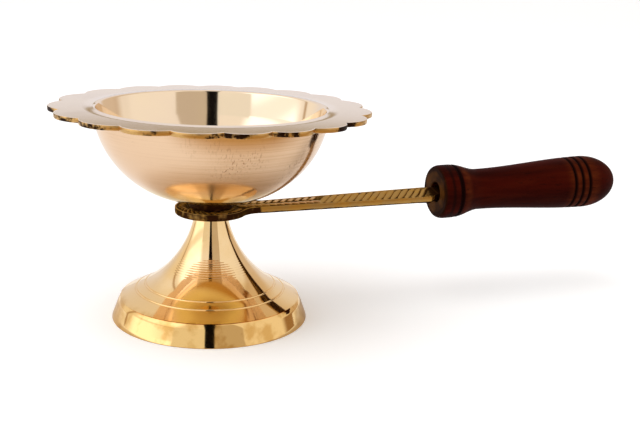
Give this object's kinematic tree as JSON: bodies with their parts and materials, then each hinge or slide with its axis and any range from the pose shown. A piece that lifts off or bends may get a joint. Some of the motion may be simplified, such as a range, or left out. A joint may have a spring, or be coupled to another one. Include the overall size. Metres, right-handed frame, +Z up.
{
  "type": "aarti lamp",
  "caption": "Brass aarti lamp: round bowl with a scalloped brim on a flared hollow foot, with a relief-cast arm clamped between them and a turned wooden handle.",
  "frame": {"origin": "on the floor, under the centre of the foot", "axes": "+Z up along the lamp's axis, +X along the arm towards the handle"},
  "size_m": [0.2611, 0.1299, 0.089],
  "materials": {
    "foot_brass": "mirror polished, with turning marks",
    "arm_brass": "cast relief with dark patina in the recesses",
    "handle_wood": "dark red-brown stain under varnish",
    "bowl_brass": "polished, finely brushed outside",
    "clamp_steel": "plain zinc-plated steel"
  },
  "bodies": {
    "lamp": {"foot": "foot_brass", "bowl": "bowl_brass", "clamp_stud": "clamp_steel", "clamp_washer": "clamp_steel", "clamp_nut": "clamp_steel"},
    "arm": {"arm": "arm_brass", "handle": "handle_wood"}
  },
  "joints": [
    {"name": "arm_swivel", "type": "hinge", "parent": "lamp", "child": "arm", "pos_m": [0, 0, 0.0457], "axis": [0, 0, 1], "continuous": true}
  ]
}
